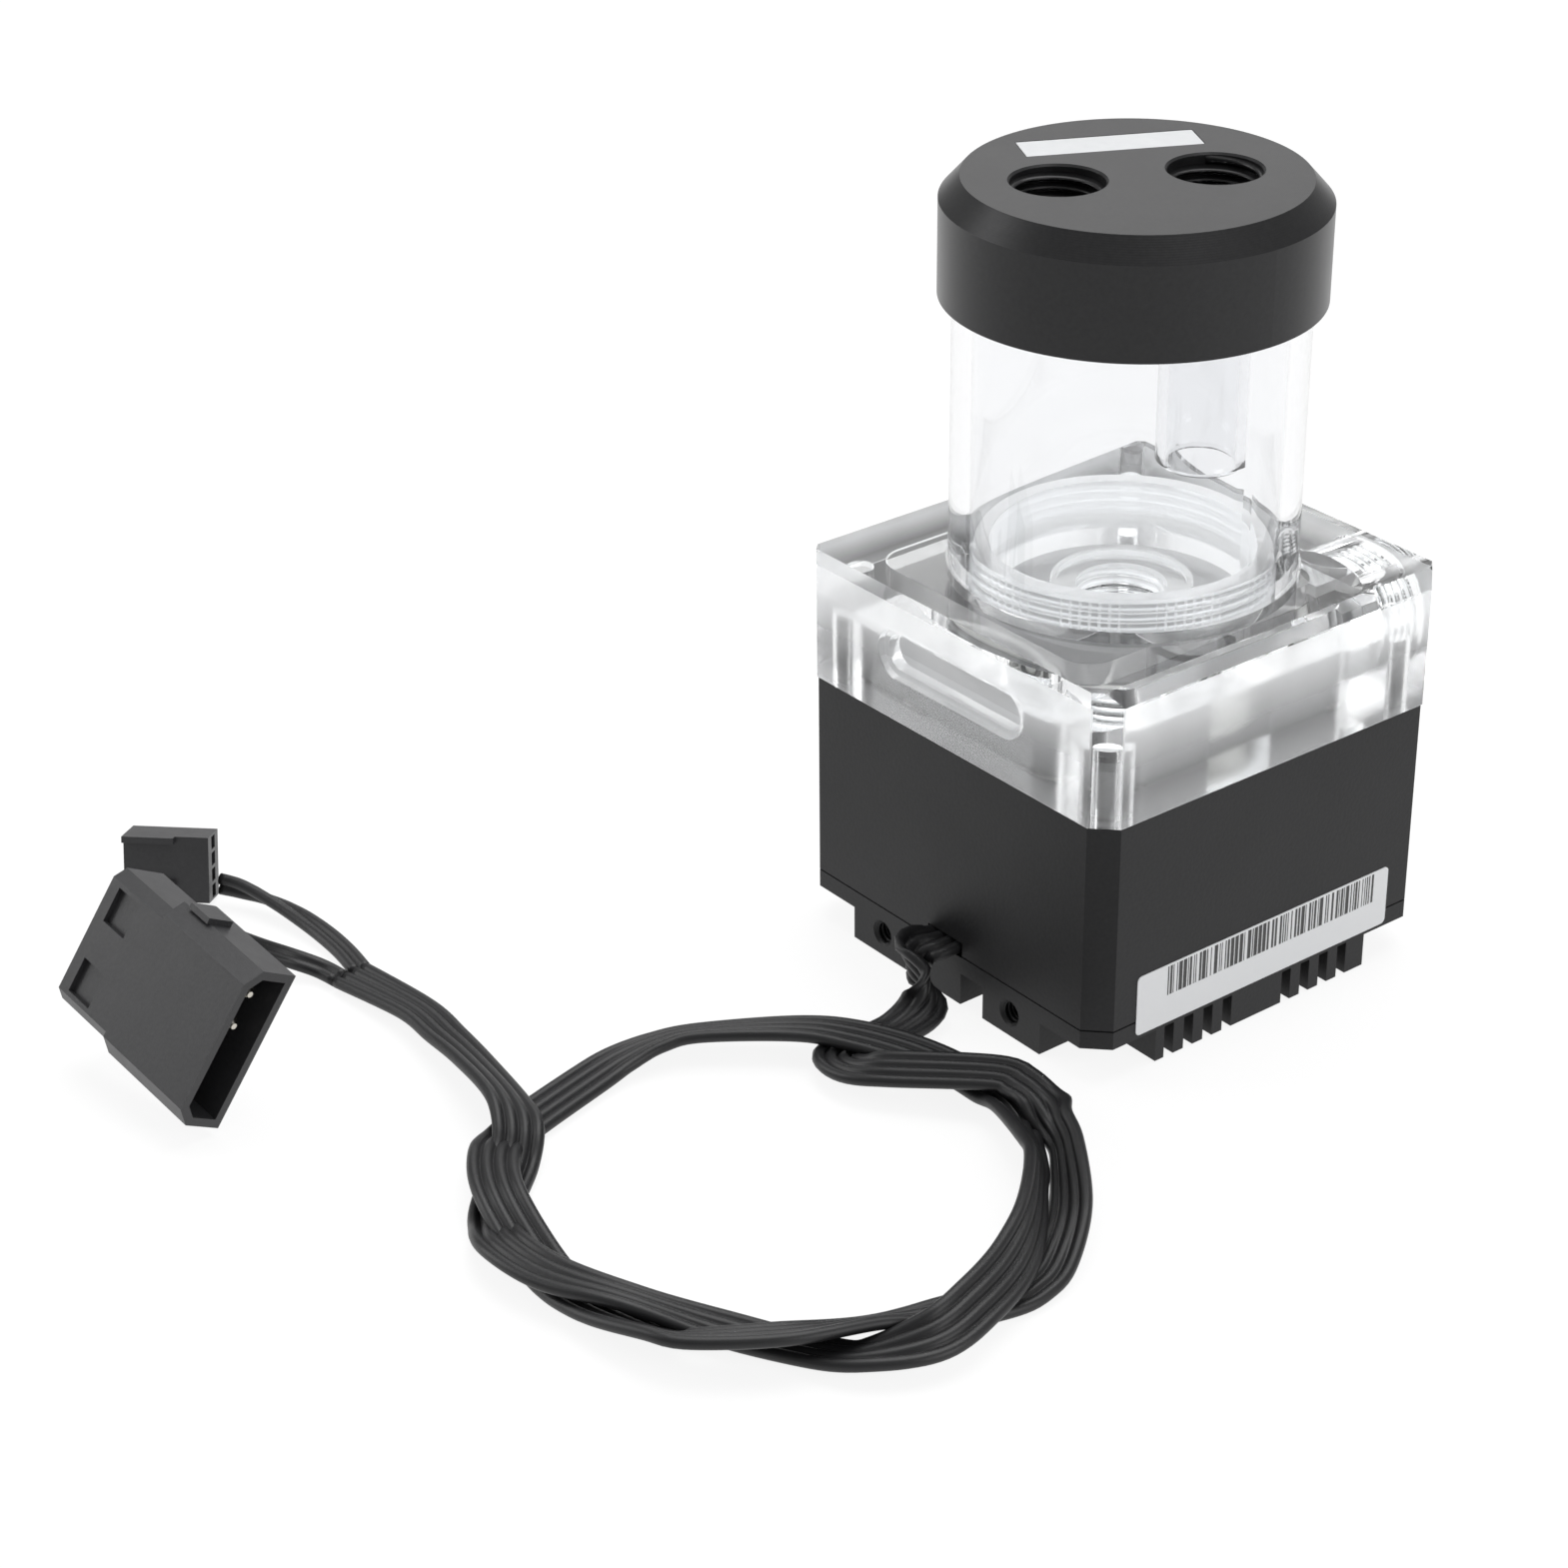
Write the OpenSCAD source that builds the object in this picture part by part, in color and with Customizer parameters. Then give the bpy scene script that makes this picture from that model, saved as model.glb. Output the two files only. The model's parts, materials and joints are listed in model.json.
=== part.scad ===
// Coolant pump with a clear reservoir on top: a finned metal base holds the motor, a clear
// block holds the pump chamber and carries a clear tube, and a screw cap closes the tube.
// Millimetres. Z is up, z = 0 is the bottom of the fins and the tube's axis is the Z axis.

/* [Body] */
// Width of the square body
body_w = 65; // [62:1:76]
// Flat cut across each upright corner
corner_cut = 3.3; // [1.5:0.1:4.5]
// Height of the cooling fins
fin_h = 5.2; // [4.6:0.1:8]
// Thickness of the plate above the fins
plate_t = 2.8; // [2.2:0.1:5]
// Height of the motor housing
sleeve_h = 32.6; // [32.6:0.1:44]
// Radius of the motor housing's bore
motor_bore_r = 27; // [26:0.1:27.6]

/* [Fins] */
// Distance from one fin to the next
fin_pitch = 3.8; // [3:0.1:4.6]
// Width of the slot between two fins
slot_w = 1.8; // [1.2:0.1:2.4]
// Slots on each side of the wide middle rib
slots_a_side = 4; // [2:1:4]
// Width of the two cross slots
cross_slot_w = 4.9; // [3:0.1:6]
// Distance of each cross slot from the middle
cross_slot_x = 6.05; // [5.4:0.05:8]
// Side of the square notch at each corner
notch_w = 11.6; // [9:0.1:13]

/* [Clear block] */
// Height of the clear pump block
block_h = 20.6; // [19:0.1:28]
// How far the clear block stands proud of the housing
block_proud = 0.15; // [0:0.05:0.5]
// Bevel along the two side edges of the block's top
block_bevel = 2.1; // [0.5:0.1:3]
// Depth of the pocket that takes the pump casing
chamber_h = 8.9; // [8.9:0.1:11]
// Distance from the well's floor down to the pump chamber
floor_t = 5.1; // [3:0.1:8]

/* [Tube and cap] */
// Outer radius of the reservoir tube
tube_r = 25; // [24:0.1:27]
// Wall of the reservoir tube
tube_wall = 3; // [2:0.1:3.6]
// Length of the tube that shows between block and cap
tube_gap = 40; // [30:1:150]
// Outer radius of the cap
cap_r = 27; // [26.4:0.1:30]
// Height of the cap
cap_h = 16.8; // [15.6:0.1:24]
// Bevel round the cap's top, inwards
cap_bevel_in = 2.9; // [1:0.1:3.5]
// Bevel round the cap's top, downwards
cap_bevel_down = 3.2; // [1:0.1:4]
// Direction of the line through the cap's two ports, in degrees
cap_turn = 63; // [0:1:90]
// Distance of each cap port from the axis
port_off = 11.05; // [9:0.05:12]
// Thread radius of the ports
port_r = 6.58; // [5:0.01:7]
// Distance from the block's top plane down to the end of the return tube, negative is above it
drop_end = -14; // [-30:0.5:-6]

/* [Pump] */
// Vanes on the impeller
vanes = 7; // [5:1:9]
// Radius of the impeller
impeller_r = 15; // [12:0.1:15.6]
// Radius of the fixed shaft
shaft_r = 1.5; // [1.2:0.05:2]
// Teeth on the stator
teeth = 6; // [6:3:9]
// Running clearance round the shaft
run_fit = 0.05; // [0.02:0.01:0.1]

/* [Fasteners and cable] */
// Radius of the long screws' shanks
screw_r = 2; // [1.5:0.05:2.3]
// Clearance round the long screws
screw_fit = 0.15; // [0.05:0.05:0.3]
// Tapping radius of the two fixing holes in the front face
fix_r = 1.65; // [1.2:0.05:2]
// Distance between the two fixing holes
fix_pitch = 28.6; // [24:0.1:32]
// Diameter of one wire of the ribbon
wire_d = 1.8; // [1.4:0.1:2]

/* [Hidden] */
$fn = 96;
eps = 0.01;
gap = 0.1;                                  // general assembly clearance

// Levels, from the floor up
z_plate = fin_h;
z_sleeve = z_plate + plate_t;
z_block = z_sleeve + sleeve_h;
z_top = z_block + block_h;
z_cap = z_top + tube_gap;
z_end = z_cap + cap_h;
block_w = body_w + 2 * block_proud;

// Motor and pump stack
spigot_h = 1.2;
z_pad = z_sleeve + spigot_h;
pad_t = 2;
z_board = z_pad + pad_t;
board_t = 1.6;
can_flange_r = motor_bore_r + 1.5;          // the flange drops into a wider mouth of the bore
can_flange_t = 4;
can_well_r = 13.9;
can_wall = 1;
can_floor_t = 1.5;
z_can_floor = z_board + board_t + 4.2;      // inner floor of the can's well
can_boss_h = 2;
washer_t = 1;
z_washer = z_can_floor + can_boss_h;
z_bush = z_washer + washer_t + run_fit;
z_flange = z_block - can_flange_t;
core_h = 14;
z_core = z_flange - 3.6 - core_h;
pocket_w = 46.4;                            // the casing's pocket in the clear block
pocket_x = -5.6;
pocket_y = 0.4;
pocket_r = 5;
z_ceiling = z_block + chamber_h;
z_well = z_ceiling + floor_t;               // floor of the reservoir's well
z_impeller = z_block + 0.8;
impeller_h = 6;
chamber_r = impeller_r + 2.4;

// Tube seat: a threaded ring stands in the block, the tube's end drops into a groove round it
bore_r = tube_r - tube_wall;
ring_out = bore_r - 0.5;
ring_in = ring_out - 2.4;
ring_h = 3.6;
groove_d = 4.6;
seal_d = 2;
z_groove = z_top - groove_d;
z_tube = z_groove + seal_d + 0.1;
tube_in_cap = 9;
collar_r = 10.25;
collar_h = 3.6;

// Long screws
screw_x = body_w / 2 - notch_w / 2;
head_r = 3.7;
head_h = 2;
screw_len = 45;
screw_hole = z_block + 10.5;                // top of the blind holes in the block

// Outlet port on the back face
outlet_x = 17.4;
outlet_z = z_block + block_h / 2;
z_under = z_end - 9.6;                     // underside of the cap's disc
z_return_seat = z_end - 6.2;               // step in the return port
spigot_r = port_r - 0.68;
outlet_depth = 8.2;

// Cable notch in the front face
cable_w = 4 * wire_d;
notch_cable_w = 7.6;
notch_drop = 0.1;                           // into the plate
notch_rise = 2.4;                           // into the housing

// Rounded block drawn from cubes and cylinders
module rounded_block(w, d, h, r) {
    for (sx = [-1, 1], sy = [-1, 1])
        translate([sx * (w / 2 - r), sy * (d / 2 - r), 0]) cylinder(r = r, h = h);
    translate([-w / 2 + r, -d / 2, 0]) cube([w - 2 * r, d, h]);
    translate([-w / 2, -d / 2 + r, 0]) cube([w, d - 2 * r, h]);
}

// Square column with a flat across each corner
module cut_square(w, c, h) {
    a = w / 2;
    b = a - c;
    linear_extrude(h)
        polygon([[-b, -a], [b, -a], [a, -b], [a, b], [b, a], [-b, a], [-a, b], [-a, -b]]);
}

module at_corners(d) {
    for (sx = [-1, 1], sy = [-1, 1]) translate([sx * d, sy * d, 0]) children();
}

// Ring with a flat top and bottom
module ring(r_out, r_in, h) {
    difference() {
        cylinder(r = r_out, h = h);
        translate([0, 0, -1]) cylinder(r = r_in, h = h + 2);
    }
}

module o_ring(r, d) {
    rotate_extrude() translate([r, d / 2]) circle(d = d, $fn = 32);
}

// ---------------------------------------------------------------- base and motor housing

module cable_notch(h) {
    translate([-notch_cable_w / 2, -body_w / 2 - 1, 0]) cube([notch_cable_w, 16, h]);
}

module bottom_cover() {
    color([0.17, 0.17, 0.18]) difference() {
        union() {
            translate([0, 0, z_plate]) cut_square(body_w, corner_cut, plate_t);
            translate([0, 0, z_sleeve - eps]) cylinder(r = motor_bore_r - gap, h = spigot_h + eps);
            fin_block();
        }
        at_corners(screw_x) {
            cylinder(r = screw_r + screw_fit, h = z_sleeve + 9);
            translate([0, 0, z_plate - eps])
                cylinder(r1 = head_r + 0.1, r2 = screw_r + 0.1, h = head_h + eps);
        }
        for (s = [-1, 1]) translate([s * fix_pitch / 2, -body_w / 2, fix_z()]) rotate([-90, 0, 0]) {
            translate([0, 0, -1]) cylinder(r = fix_r, h = 8.5);
            translate([0, 0, -eps]) cylinder(r1 = fix_r + 0.45, r2 = fix_r, h = 0.45);
        }
        translate([0, 0, z_sleeve - notch_drop]) cable_notch(notch_drop + spigot_h + 1);
    }
}

function fix_z() = z_sleeve / 2 - 0.3;

// Fins run from side to side, two wide slots cross them and the corners are left free
module fin_block() {
    half = body_w / 2;
    difference() {
        translate([-half, -half, 0]) cube([body_w, body_w, fin_h + eps]);
        at_corners(half) translate([-notch_w, -notch_w, -1]) cube([2 * notch_w, 2 * notch_w, fin_h + 2]);
        for (i = [0:slots_a_side - 1]) {
            translate([-half - 1, -6.95 - i * fin_pitch - slot_w / 2, -1])
                cube([body_w + 2, slot_w, fin_h + 1]);
            translate([-half - 1, 4.9 + i * fin_pitch - slot_w / 2, -1])
                cube([body_w + 2, slot_w, fin_h + 1]);
        }
        for (s = [-1, 1]) translate([s * cross_slot_x - cross_slot_w / 2, -half - 1, -1])
            cube([cross_slot_w, body_w + 2, fin_h + 1]);
    }
}

module housing_sleeve() {
    color([0.19, 0.19, 0.2]) translate([0, 0, z_sleeve]) difference() {
        union() {
            cut_square(body_w - 0.4, corner_cut, 1);
            translate([0, 0, 0.25]) cut_square(body_w, corner_cut, sleeve_h - 0.25);
        }
        translate([0, 0, -1]) cylinder(r = motor_bore_r, h = sleeve_h + 2);
        translate([0, 0, sleeve_h - can_flange_t]) cylinder(r = can_flange_r, h = can_flange_t + 1);
        at_corners(screw_x) translate([0, 0, -1]) cylinder(r = screw_r + screw_fit, h = sleeve_h + 2);
        translate([0, 0, -1]) cable_notch(notch_rise + 1);
    }
}

module cover_screws() {
    color([0.12, 0.12, 0.13]) at_corners(screw_x) {
        translate([0, 0, z_plate + 0.05]) difference() {
            cylinder(r1 = head_r, r2 = screw_r, h = head_h);
            translate([0, 0, -eps]) cylinder(r = 1.35, h = 1.4, $fn = 6);
        }
        translate([0, 0, z_plate + head_h]) cylinder(r = screw_r, h = screw_len - head_h);
    }
}

module thermal_pad() {
    color([0.55, 0.62, 0.72]) translate([0, 0, z_pad]) cylinder(r = 16, h = pad_t);
}

module circuit_board() {
    color([0.05, 0.3, 0.12]) translate([0, 0, z_board]) {
        difference() {
            cylinder(r = motor_bore_r - 0.4, h = board_t);
            for (a = [90:120:330]) rotate(a) translate([22, 0, -1]) cylinder(r = 1.2, h = board_t + 2);
        }
        for (a = [20:60:320]) rotate(a) translate([19, -2.5, board_t - eps]) cube([5, 5, 1.3]);
        translate([-4.5, 8, board_t - eps]) cube([9, 7, 1.1]);
        for (s = [-1, 1]) translate([s * 9, -11, board_t - eps]) cylinder(r = 2.6, h = 2.2);
        translate([-notch_cable_w / 2 + 0.3, -24, -2.3]) cube([notch_cable_w - 0.6, 6, 2.3 + eps]);
    }
}

// ---------------------------------------------------------------- motor

// Laminated core: a yoke and inward teeth with wide tips, each lamination stack one solid
module stator_core() {
    color([0.45, 0.45, 0.47]) translate([0, 0, z_core]) {
        ring(motor_bore_r - gap, motor_bore_r - 3.6, core_h);
        for (i = [0:teeth - 1]) rotate(i * 360 / teeth) intersection() {
            union() {
                translate([tip_r() - 0.5, -tooth_w() / 2, 0])
                    cube([motor_bore_r - 3.4 - tip_r() + 0.5, tooth_w(), core_h]);
                translate([tip_r() - 2, -tip_w() / 2, 0]) cube([3.6, tip_w(), core_h]);
            }
            ring(motor_bore_r - 3, tip_r(), core_h);
        }
    }
}

function tip_r() = can_well_r + can_wall + 0.3;
function tooth_w() = 30 / teeth;
function tip_w() = 66 / teeth;

module stator_coils() {
    coil_t = 2;
    x0 = tip_r() + 1.9;
    len = motor_bore_r - 4.7 - x0;
    color([0.72, 0.36, 0.16]) for (i = [0:teeth - 1]) rotate(i * 360 / teeth)
        translate([x0, 0, z_core + core_h / 2]) rotate([0, 90, 0]) difference() {
            coil_former(core_h + 2 * coil_t, tooth_w() + 2 * coil_t, len);
            translate([-core_h / 2 - 0.15, -tooth_w() / 2 - 0.15, -1])
                cube([core_h + 0.3, tooth_w() + 0.3, len + 2]);
        }
}

module coil_former(w, d, h) {
    rounded_block(w, d, h, 1.6);
}

// Cup that keeps the liquid and the rotor apart from the windings
module isolation_can() {
    color([0.12, 0.12, 0.13]) difference() {
        union() {
            translate([0, 0, z_flange]) cylinder(r = can_flange_r - gap, h = can_flange_t);
            translate([0, 0, z_can_floor - can_floor_t])
                cylinder(r = can_well_r + can_wall, h = z_flange - z_can_floor + can_floor_t + eps);
        }
        difference() {
            translate([0, 0, z_can_floor]) cylinder(r = can_well_r, h = 60);
            translate([0, 0, z_can_floor - eps]) cylinder(r = 3.6, h = can_boss_h + eps);
        }
        translate([0, 0, z_can_floor - 0.4]) cylinder(r = shaft_r + 0.01, h = can_boss_h + 1);
        translate([0, 0, z_block - seal_d + 0.1]) ring(can_flange_r - 1.4, can_flange_r - 3.6, seal_d);
        at_corners(screw_x) translate([0, 0, z_flange - 1]) cylinder(r = screw_r + screw_fit, h = 9);
    }
}

module can_seal() {
    color([0.75, 0.75, 0.74]) translate([0, 0, z_block - seal_d + 0.1]) o_ring(can_flange_r - 2.5, seal_d - 0.15);
}

module bearing_shaft() {
    color([0.92, 0.92, 0.9]) translate([0, 0, z_can_floor - 0.4])
        cylinder(r = shaft_r, h = z_impeller + impeller_h - z_can_floor + 0.4);
}

module thrust_washer() {
    color([0.9, 0.9, 0.88]) translate([0, 0, z_washer]) ring(3.4, shaft_r + run_fit, washer_t);
}

// Moulded casing in the block's pocket: it forms the spiral that gathers the flow
module pump_casing() {
    w = pocket_w - 0.4;
    color([0.14, 0.14, 0.15]) difference() {
        translate([pocket_x, pocket_y, z_block]) rounded_block(w, w, chamber_h - 0.2, pocket_r - 0.2);
        translate([0, 0, z_block - 1]) volute(chamber_h + 2);
        translate([0, 0, z_block - eps]) ring(can_flange_r + 6, can_flange_r - 3.8, 0.6);
    }
}

// The spiral grows with the angle in eight even steps and leaves along +Y
module volute(h) {
    cylinder(r = chamber_r, h = h);
    for (i = [0:7]) rotate(-270 + i * 45 + 22.5) intersection() {
        translate([0.1 * (i + 1) / 2, 0, 0]) cylinder(r = chamber_r + 0.1 * (i + 1), h = h);
        translate([0, -chamber_r, 0]) cube([2 * chamber_r, 2 * chamber_r, h]);
    }
    translate([6.5, 0, 1 + 0.9]) cube([9, 30, h - 3.2]);
}

// ---------------------------------------------------------------- rotor

// Closed impeller: two shrouds with swept vanes between them on a hub
module impeller() {
    vane_h = impeller_h - 2.2;
    color([0.88, 0.88, 0.86]) difference() {
        union() {
            translate([0, 0, z_impeller]) cylinder(r = impeller_r, h = 1.3);
            translate([0, 0, z_impeller + impeller_h - 0.9]) ring(impeller_r, 6.4, 0.9);
            translate([0, 0, z_impeller]) cylinder(r1 = 5, r2 = 3.6, h = impeller_h);
            translate([0, 0, z_magnet_top() - 1]) cylinder(r = hub_r(), h = z_impeller - z_magnet_top() + 1 + eps);
            translate([0, 0, z_bush]) cylinder(r = hub_r() - 2, h = z_magnet_top() - z_bush);
            for (i = [0:vanes - 1]) rotate(i * 360 / vanes)
                translate([0, 0, z_impeller + 1.2]) vane(vane_h + 0.4);
        }
        translate([0, 0, z_bush - 1]) cylinder(r = bush_out() + 0.02, h = 60);
    }
}

function hub_r() = 9;
function bush_out() = 3;
function z_magnet_top() = z_flange - 1;

// One swept vane: the band between two circles whose centres are offset from the axis
module vane(h) {
    intersection() {
        translate([0, 7.6, 0]) ring(8.6, 7.6, h);
        translate([0.3, -2, 0]) cube([20, 22, h]);
        ring(impeller_r - 0.3, 3.2, h);
    }
}

module rotor_magnet() {
    color([0.2, 0.2, 0.21]) translate([0, 0, z_bush]) difference() {
        cylinder(r = can_well_r - 0.7, h = z_magnet_top() - z_bush);
        translate([0, 0, -1]) cylinder(r = hub_r() - 2 + 0.02, h = 60);
        translate([0, 0, z_magnet_top() - z_bush - 1 - 0.02]) cylinder(r = hub_r() + 0.02, h = 5);
    }
}

module rotor_bush() {
    color([0.35, 0.35, 0.36]) translate([0, 0, z_bush])
        ring(bush_out(), shaft_r + run_fit, z_impeller + impeller_h - z_bush - 0.4);
}

// ---------------------------------------------------------------- clear pump block

module pump_top() {
    color([0.9, 0.93, 0.95, 0.35]) difference() {
        union() {
            difference() {
                translate([0, 0, z_block + gap / 4]) cut_square(block_w, corner_cut, block_h - gap / 4);
                translate([0, 0, z_groove]) cylinder(r = tube_r + 0.35, h = groove_d + 1);
                for (s = [-1, 1]) translate([s * block_w / 2, 0, z_top]) rotate([0, 45, 0])
                    cube([block_bevel * sqrt(2), block_w + 2, block_bevel * sqrt(2)], center = true);
            }
            translate([0, 0, z_groove - eps]) cylinder(r = ring_out, h = groove_d + ring_h + eps);
        }
        difference() {
            translate([0, 0, z_well]) cylinder(r = ring_in, h = 60);
            translate([0, 0, z_well - eps]) cylinder(r = collar_r, h = collar_h + eps);
        }
        translate([0, 0, z_well + collar_h - 0.8]) cylinder(r = collar_r - 0.9, h = 60);
        translate([0, 0, z_ceiling - 1]) cylinder(r = port_r, h = 60);
        translate([pocket_x, pocket_y, z_block - 1])
            rounded_block(pocket_w, pocket_w, chamber_h + 1, pocket_r);
        outlet();
        at_corners(screw_x) translate([0, 0, z_block - 1]) cylinder(r = screw_r + 0.05, h = screw_hole - z_block + 1);
        oblong_recess();
    }
}

// Tangential outlet: a port in the back face and a short throat that joins it to the pocket
module outlet() {
    translate([outlet_x, block_w / 2, outlet_z]) rotate([90, 0, 0]) {
        translate([0, 0, -1]) cylinder(r = port_r, h = outlet_depth + 1);
        translate([0, 0, -eps]) cylinder(r1 = port_r + 0.5, r2 = port_r, h = 0.5);
    }
    translate([outlet_x - 6.6, block_w / 2 - outlet_depth - 4, z_block + 4]) cube([8, 4 + eps, chamber_h - 4.2]);
}

// Two-step oblong recess in the front face
module oblong_recess() {
    for (step = [[3.8, 1.2], [2.8, 3.2]]) translate([0, -block_w / 2, outlet_z]) rotate([-90, 0, 0]) {
        for (s = [-1, 1]) translate([s * 11.6, 0, -1]) cylinder(r = step[0], h = step[1] + 1);
        translate([-11.6, -step[0], -1]) cube([23.2, 2 * step[0], step[1] + 1]);
    }
}

// ---------------------------------------------------------------- reservoir

module tube_seal() {
    color([0.8, 0.8, 0.79]) translate([0, 0, z_groove + 0.02]) o_ring(tube_r - tube_wall / 2, seal_d);
}

module reservoir_tube() {
    color([0.92, 0.95, 0.97, 0.3]) translate([0, 0, z_tube])
        ring(tube_r, bore_r, z_cap + tube_in_cap - z_tube);
}

module cap_seal() {
    color([0.15, 0.15, 0.15]) translate([0, 0, z_cap + tube_in_cap + 0.32])
        o_ring(tube_r - tube_wall / 2, seal_d);
}

module on_cap() {
    rotate(cap_turn) children();
}

module reservoir_cap() {
    top_r = cap_r - cap_bevel_in;
    slot_top = z_cap + tube_in_cap + 0.34 + seal_d;
    color([0.2, 0.2, 0.21]) difference() {
        rotate_extrude() polygon([[0, z_under], [ring_in, z_under], [ring_in, z_cap + 1],
            [ring_out, z_cap + 1], [ring_out, slot_top], [tube_r + 0.35, slot_top],
            [tube_r + 0.35, z_cap], [cap_r, z_cap], [cap_r, z_end - cap_bevel_down],
            [top_r, z_end], [0, z_end]]);
        on_cap() for (s = [-1, 1]) translate([s * port_off, 0, 0]) {
            translate([0, 0, s < 0 ? z_under - 1 : z_return_seat]) cylinder(r = port_r, h = 20);
            translate([0, 0, z_under - 1]) cylinder(r = spigot_r + run_fit, h = 20);
            translate([0, 0, z_end - 0.3]) cylinder(r1 = port_r, r2 = port_r + 0.32, h = 0.32);
        }
        on_cap() translate([0, 13.6, z_end - 0.6]) translate([-inlay_l / 2 - gap, -inlay_w / 2 - gap, 0])
            cube([inlay_l + 2 * gap, inlay_w + 2 * gap, 2]);
    }
}

inlay_l = 25.4;
inlay_w = 6.3;

module cap_inlay() {
    color([0.8, 0.8, 0.81]) on_cap() translate([-inlay_l / 2, 13.6 - inlay_w / 2, z_end - 0.6])
        cube([inlay_l, inlay_w, 0.55]);
}

// Clear drop tube: its spigot is bonded into the narrow lower part of the return port
module return_tube() {
    z_low = z_top - drop_end;
    outer_r = port_r - 0.03;
    color([0.92, 0.95, 0.97, 0.3]) on_cap() translate([port_off, 0, 0]) difference() {
        union() {
            translate([0, 0, z_low]) cylinder(r1 = outer_r - 0.6, r2 = outer_r, h = 0.6);
            translate([0, 0, z_low + 0.6]) cylinder(r = outer_r, h = z_under - 0.05 - z_low - 0.6);
            translate([0, 0, z_low + 1]) cylinder(r = spigot_r, h = z_return_seat - 0.5 - z_low - 1);
        }
        translate([0, 0, z_low - 1]) cylinder(r = outer_r - 1.5, h = 60);
        translate([0, 0, z_low - eps]) cylinder(r1 = outer_r - 1.1, r2 = outer_r - 1.5, h = 0.4);
    }
}

module rating_label() {
    color([0.9, 0.91, 0.92]) translate([body_w / 2, 0, z_plate + 0.6]) rotate([90, 0, 90])
        linear_extrude(0.12) {
            translate([-24.2, 0]) square([48.4, 9.6]);
            translate([-25, 0.8]) square([50, 8]);
            for (s = [-1, 1], z = [0.8, 8.8]) translate([s * 24.2, z]) circle(r = 0.8);
        }
}

// ---------------------------------------------------------------- cable
// Each route point is [x, y, z, lean], where lean turns the ribbon's left edge upwards

ribbon_route = [
    [0, -24.4, 9.4, 0], [-0.4, -33.4, 9.2, -6], [-1.3, -36, 9, -30], [-1.2, -38.2, 8, -66],
    [0.6, -38.6, 6.9, -75], [2.4, -38.3, 5.6, -66], [4, -39.2, 4, -44], [4.4, -41.4, 2.3, -18],
    [4.4, -45, 1.2, -3], [4.3, -48.6, 1, 0], [4.6, -52.7, 1.2, 0], [6.1, -57.5, 2.2, -5], [10.8, -58.4, 3.2, 0], [15.9, -55.8, 4.6, 7], [26.9, -46.3, 5.6, 5],
    [30.8, -44.8, 5.3, 3], [35.1, -44.8, 4.7, 0], [40, -46.3, 3.8, 66], [45.7, -49.6, 3.6, 60],
    [55.3, -57.8, 2.9, 36], [60.9, -65.9, 1.5, 9], [62.3, -70.4, 1.1, 0], [62.3, -74.9, 1, 0],
    [60.4, -83.5, 1.5, 8], [57.8, -92.2, 2.8, 33], [54.5, -104.3, 4.8, 22],
    [48.1, -113.7, 4.7, 26], [43.4, -116.4, 3.8, 35], [31.9, -118.2, 1.9, 16],
    [20.2, -117.3, 1.1, 0], [7, -115.2, 4.6, 2], [-2, -110.2, 4, 6], [-7.6, -104.3, 1.3, 0],
    [-9.8, -98.7, 1, 0], [-12.8, -86.9, 1.1, -2], [-13.6, -81, 1.6, -8],
    [-12.8, -75.2, 2.4, -18], [-10.1, -69.5, 3.1, -20], [-1.2, -58.7, 3.9, -10],
    [5.2, -53.5, 3.8, -2], [12.9, -49.2, 3.2, 0], [20.3, -46.7, 2.5, -3], [26.5, -46.4, 2.2, -8],
    [32.6, -47.9, 2.7, -30], [43.6, -53.9, 4.5, -59], [48.8, -57.9, 5.5, -72],
    [56.8, -65.9, 6.1, -62], [61.9, -73.5, 5.8, -42], [65, -81.7, 5.5, -34],
    [65.9, -89.5, 4.4, -25], [62, -97, 2.6, 8], [57, -100.6, 1.5, 9], [44.9, -107.2, 1.3, 6],
    [35.2, -114.9, 4.1, 16], [25.2, -119.7, 4.3, 4], [15.5, -120.5, 3.9, 0], [8, -117, 1.3, -6],
    [4, -113.9, 1, 0], [-1.6, -107.5, 1.8, 13], [-5.3, -104, 4.2, 6], [-11.5, -101.6, 4.7, 26],
    [-23.9, -98.8, 3.2, 24], [-33.4, -97.4, 2.3, 16], [-42.5, -96.7, 2, 11],
    [-57.6, -98.3, 1.1, 0]];

signal_route = [
    [-57.95, -96.5, 1.1, 0], [-64, -95.6, 1.2, 0], [-70.4, -95.4, 1.4, 0], [-77, -96.2, 2, 15],
    [-83, -97.8, 2.6, 45], [-87.2, -99.8, 3.1, 80], [-89.9, -101.5, 3.3, 90]];

power_route = [
    [-57.95, -100.15, 1.1, 0], [-62, -101.2, 1.4, -5], [-65, -104.4, 3, -20], [-66, -109, 6, -40],
    [-65.4, -114, 10, -60], [-64.2, -119, 14.2, -75], [-63.2, -123.6, 18, -80], [-62.6, -126.8, 20.4, -85],
    [-60.6, -129.2, 21.6, -90], [-57.7, -129.8, 21.5, -90]];

function unit(v) = v / norm(v);
function pos(r, i) = [r[i][0], r[i][1], r[i][2]];
function along(r, i) = unit(pos(r, min(i + 1, len(r) - 1)) - pos(r, max(i - 1, 0)));
function level_left(t) = unit(cross([0, 0, 1], t));
function leaning(t, lean) = cos(lean) * level_left(t) + sin(lean) * cross(t, level_left(t));

// Outline of a flat lead, with its corners taken off
function flat_section(w, t) = let (c = t * 0.28) [
    [w / 2, t / 2 - c], [w / 2 - c, t / 2], [-w / 2 + c, t / 2], [-w / 2, t / 2 - c],
    [-w / 2, -t / 2 + c], [-w / 2 + c, -t / 2], [w / 2 - c, -t / 2], [w / 2, -t / 2 + c]];

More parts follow.
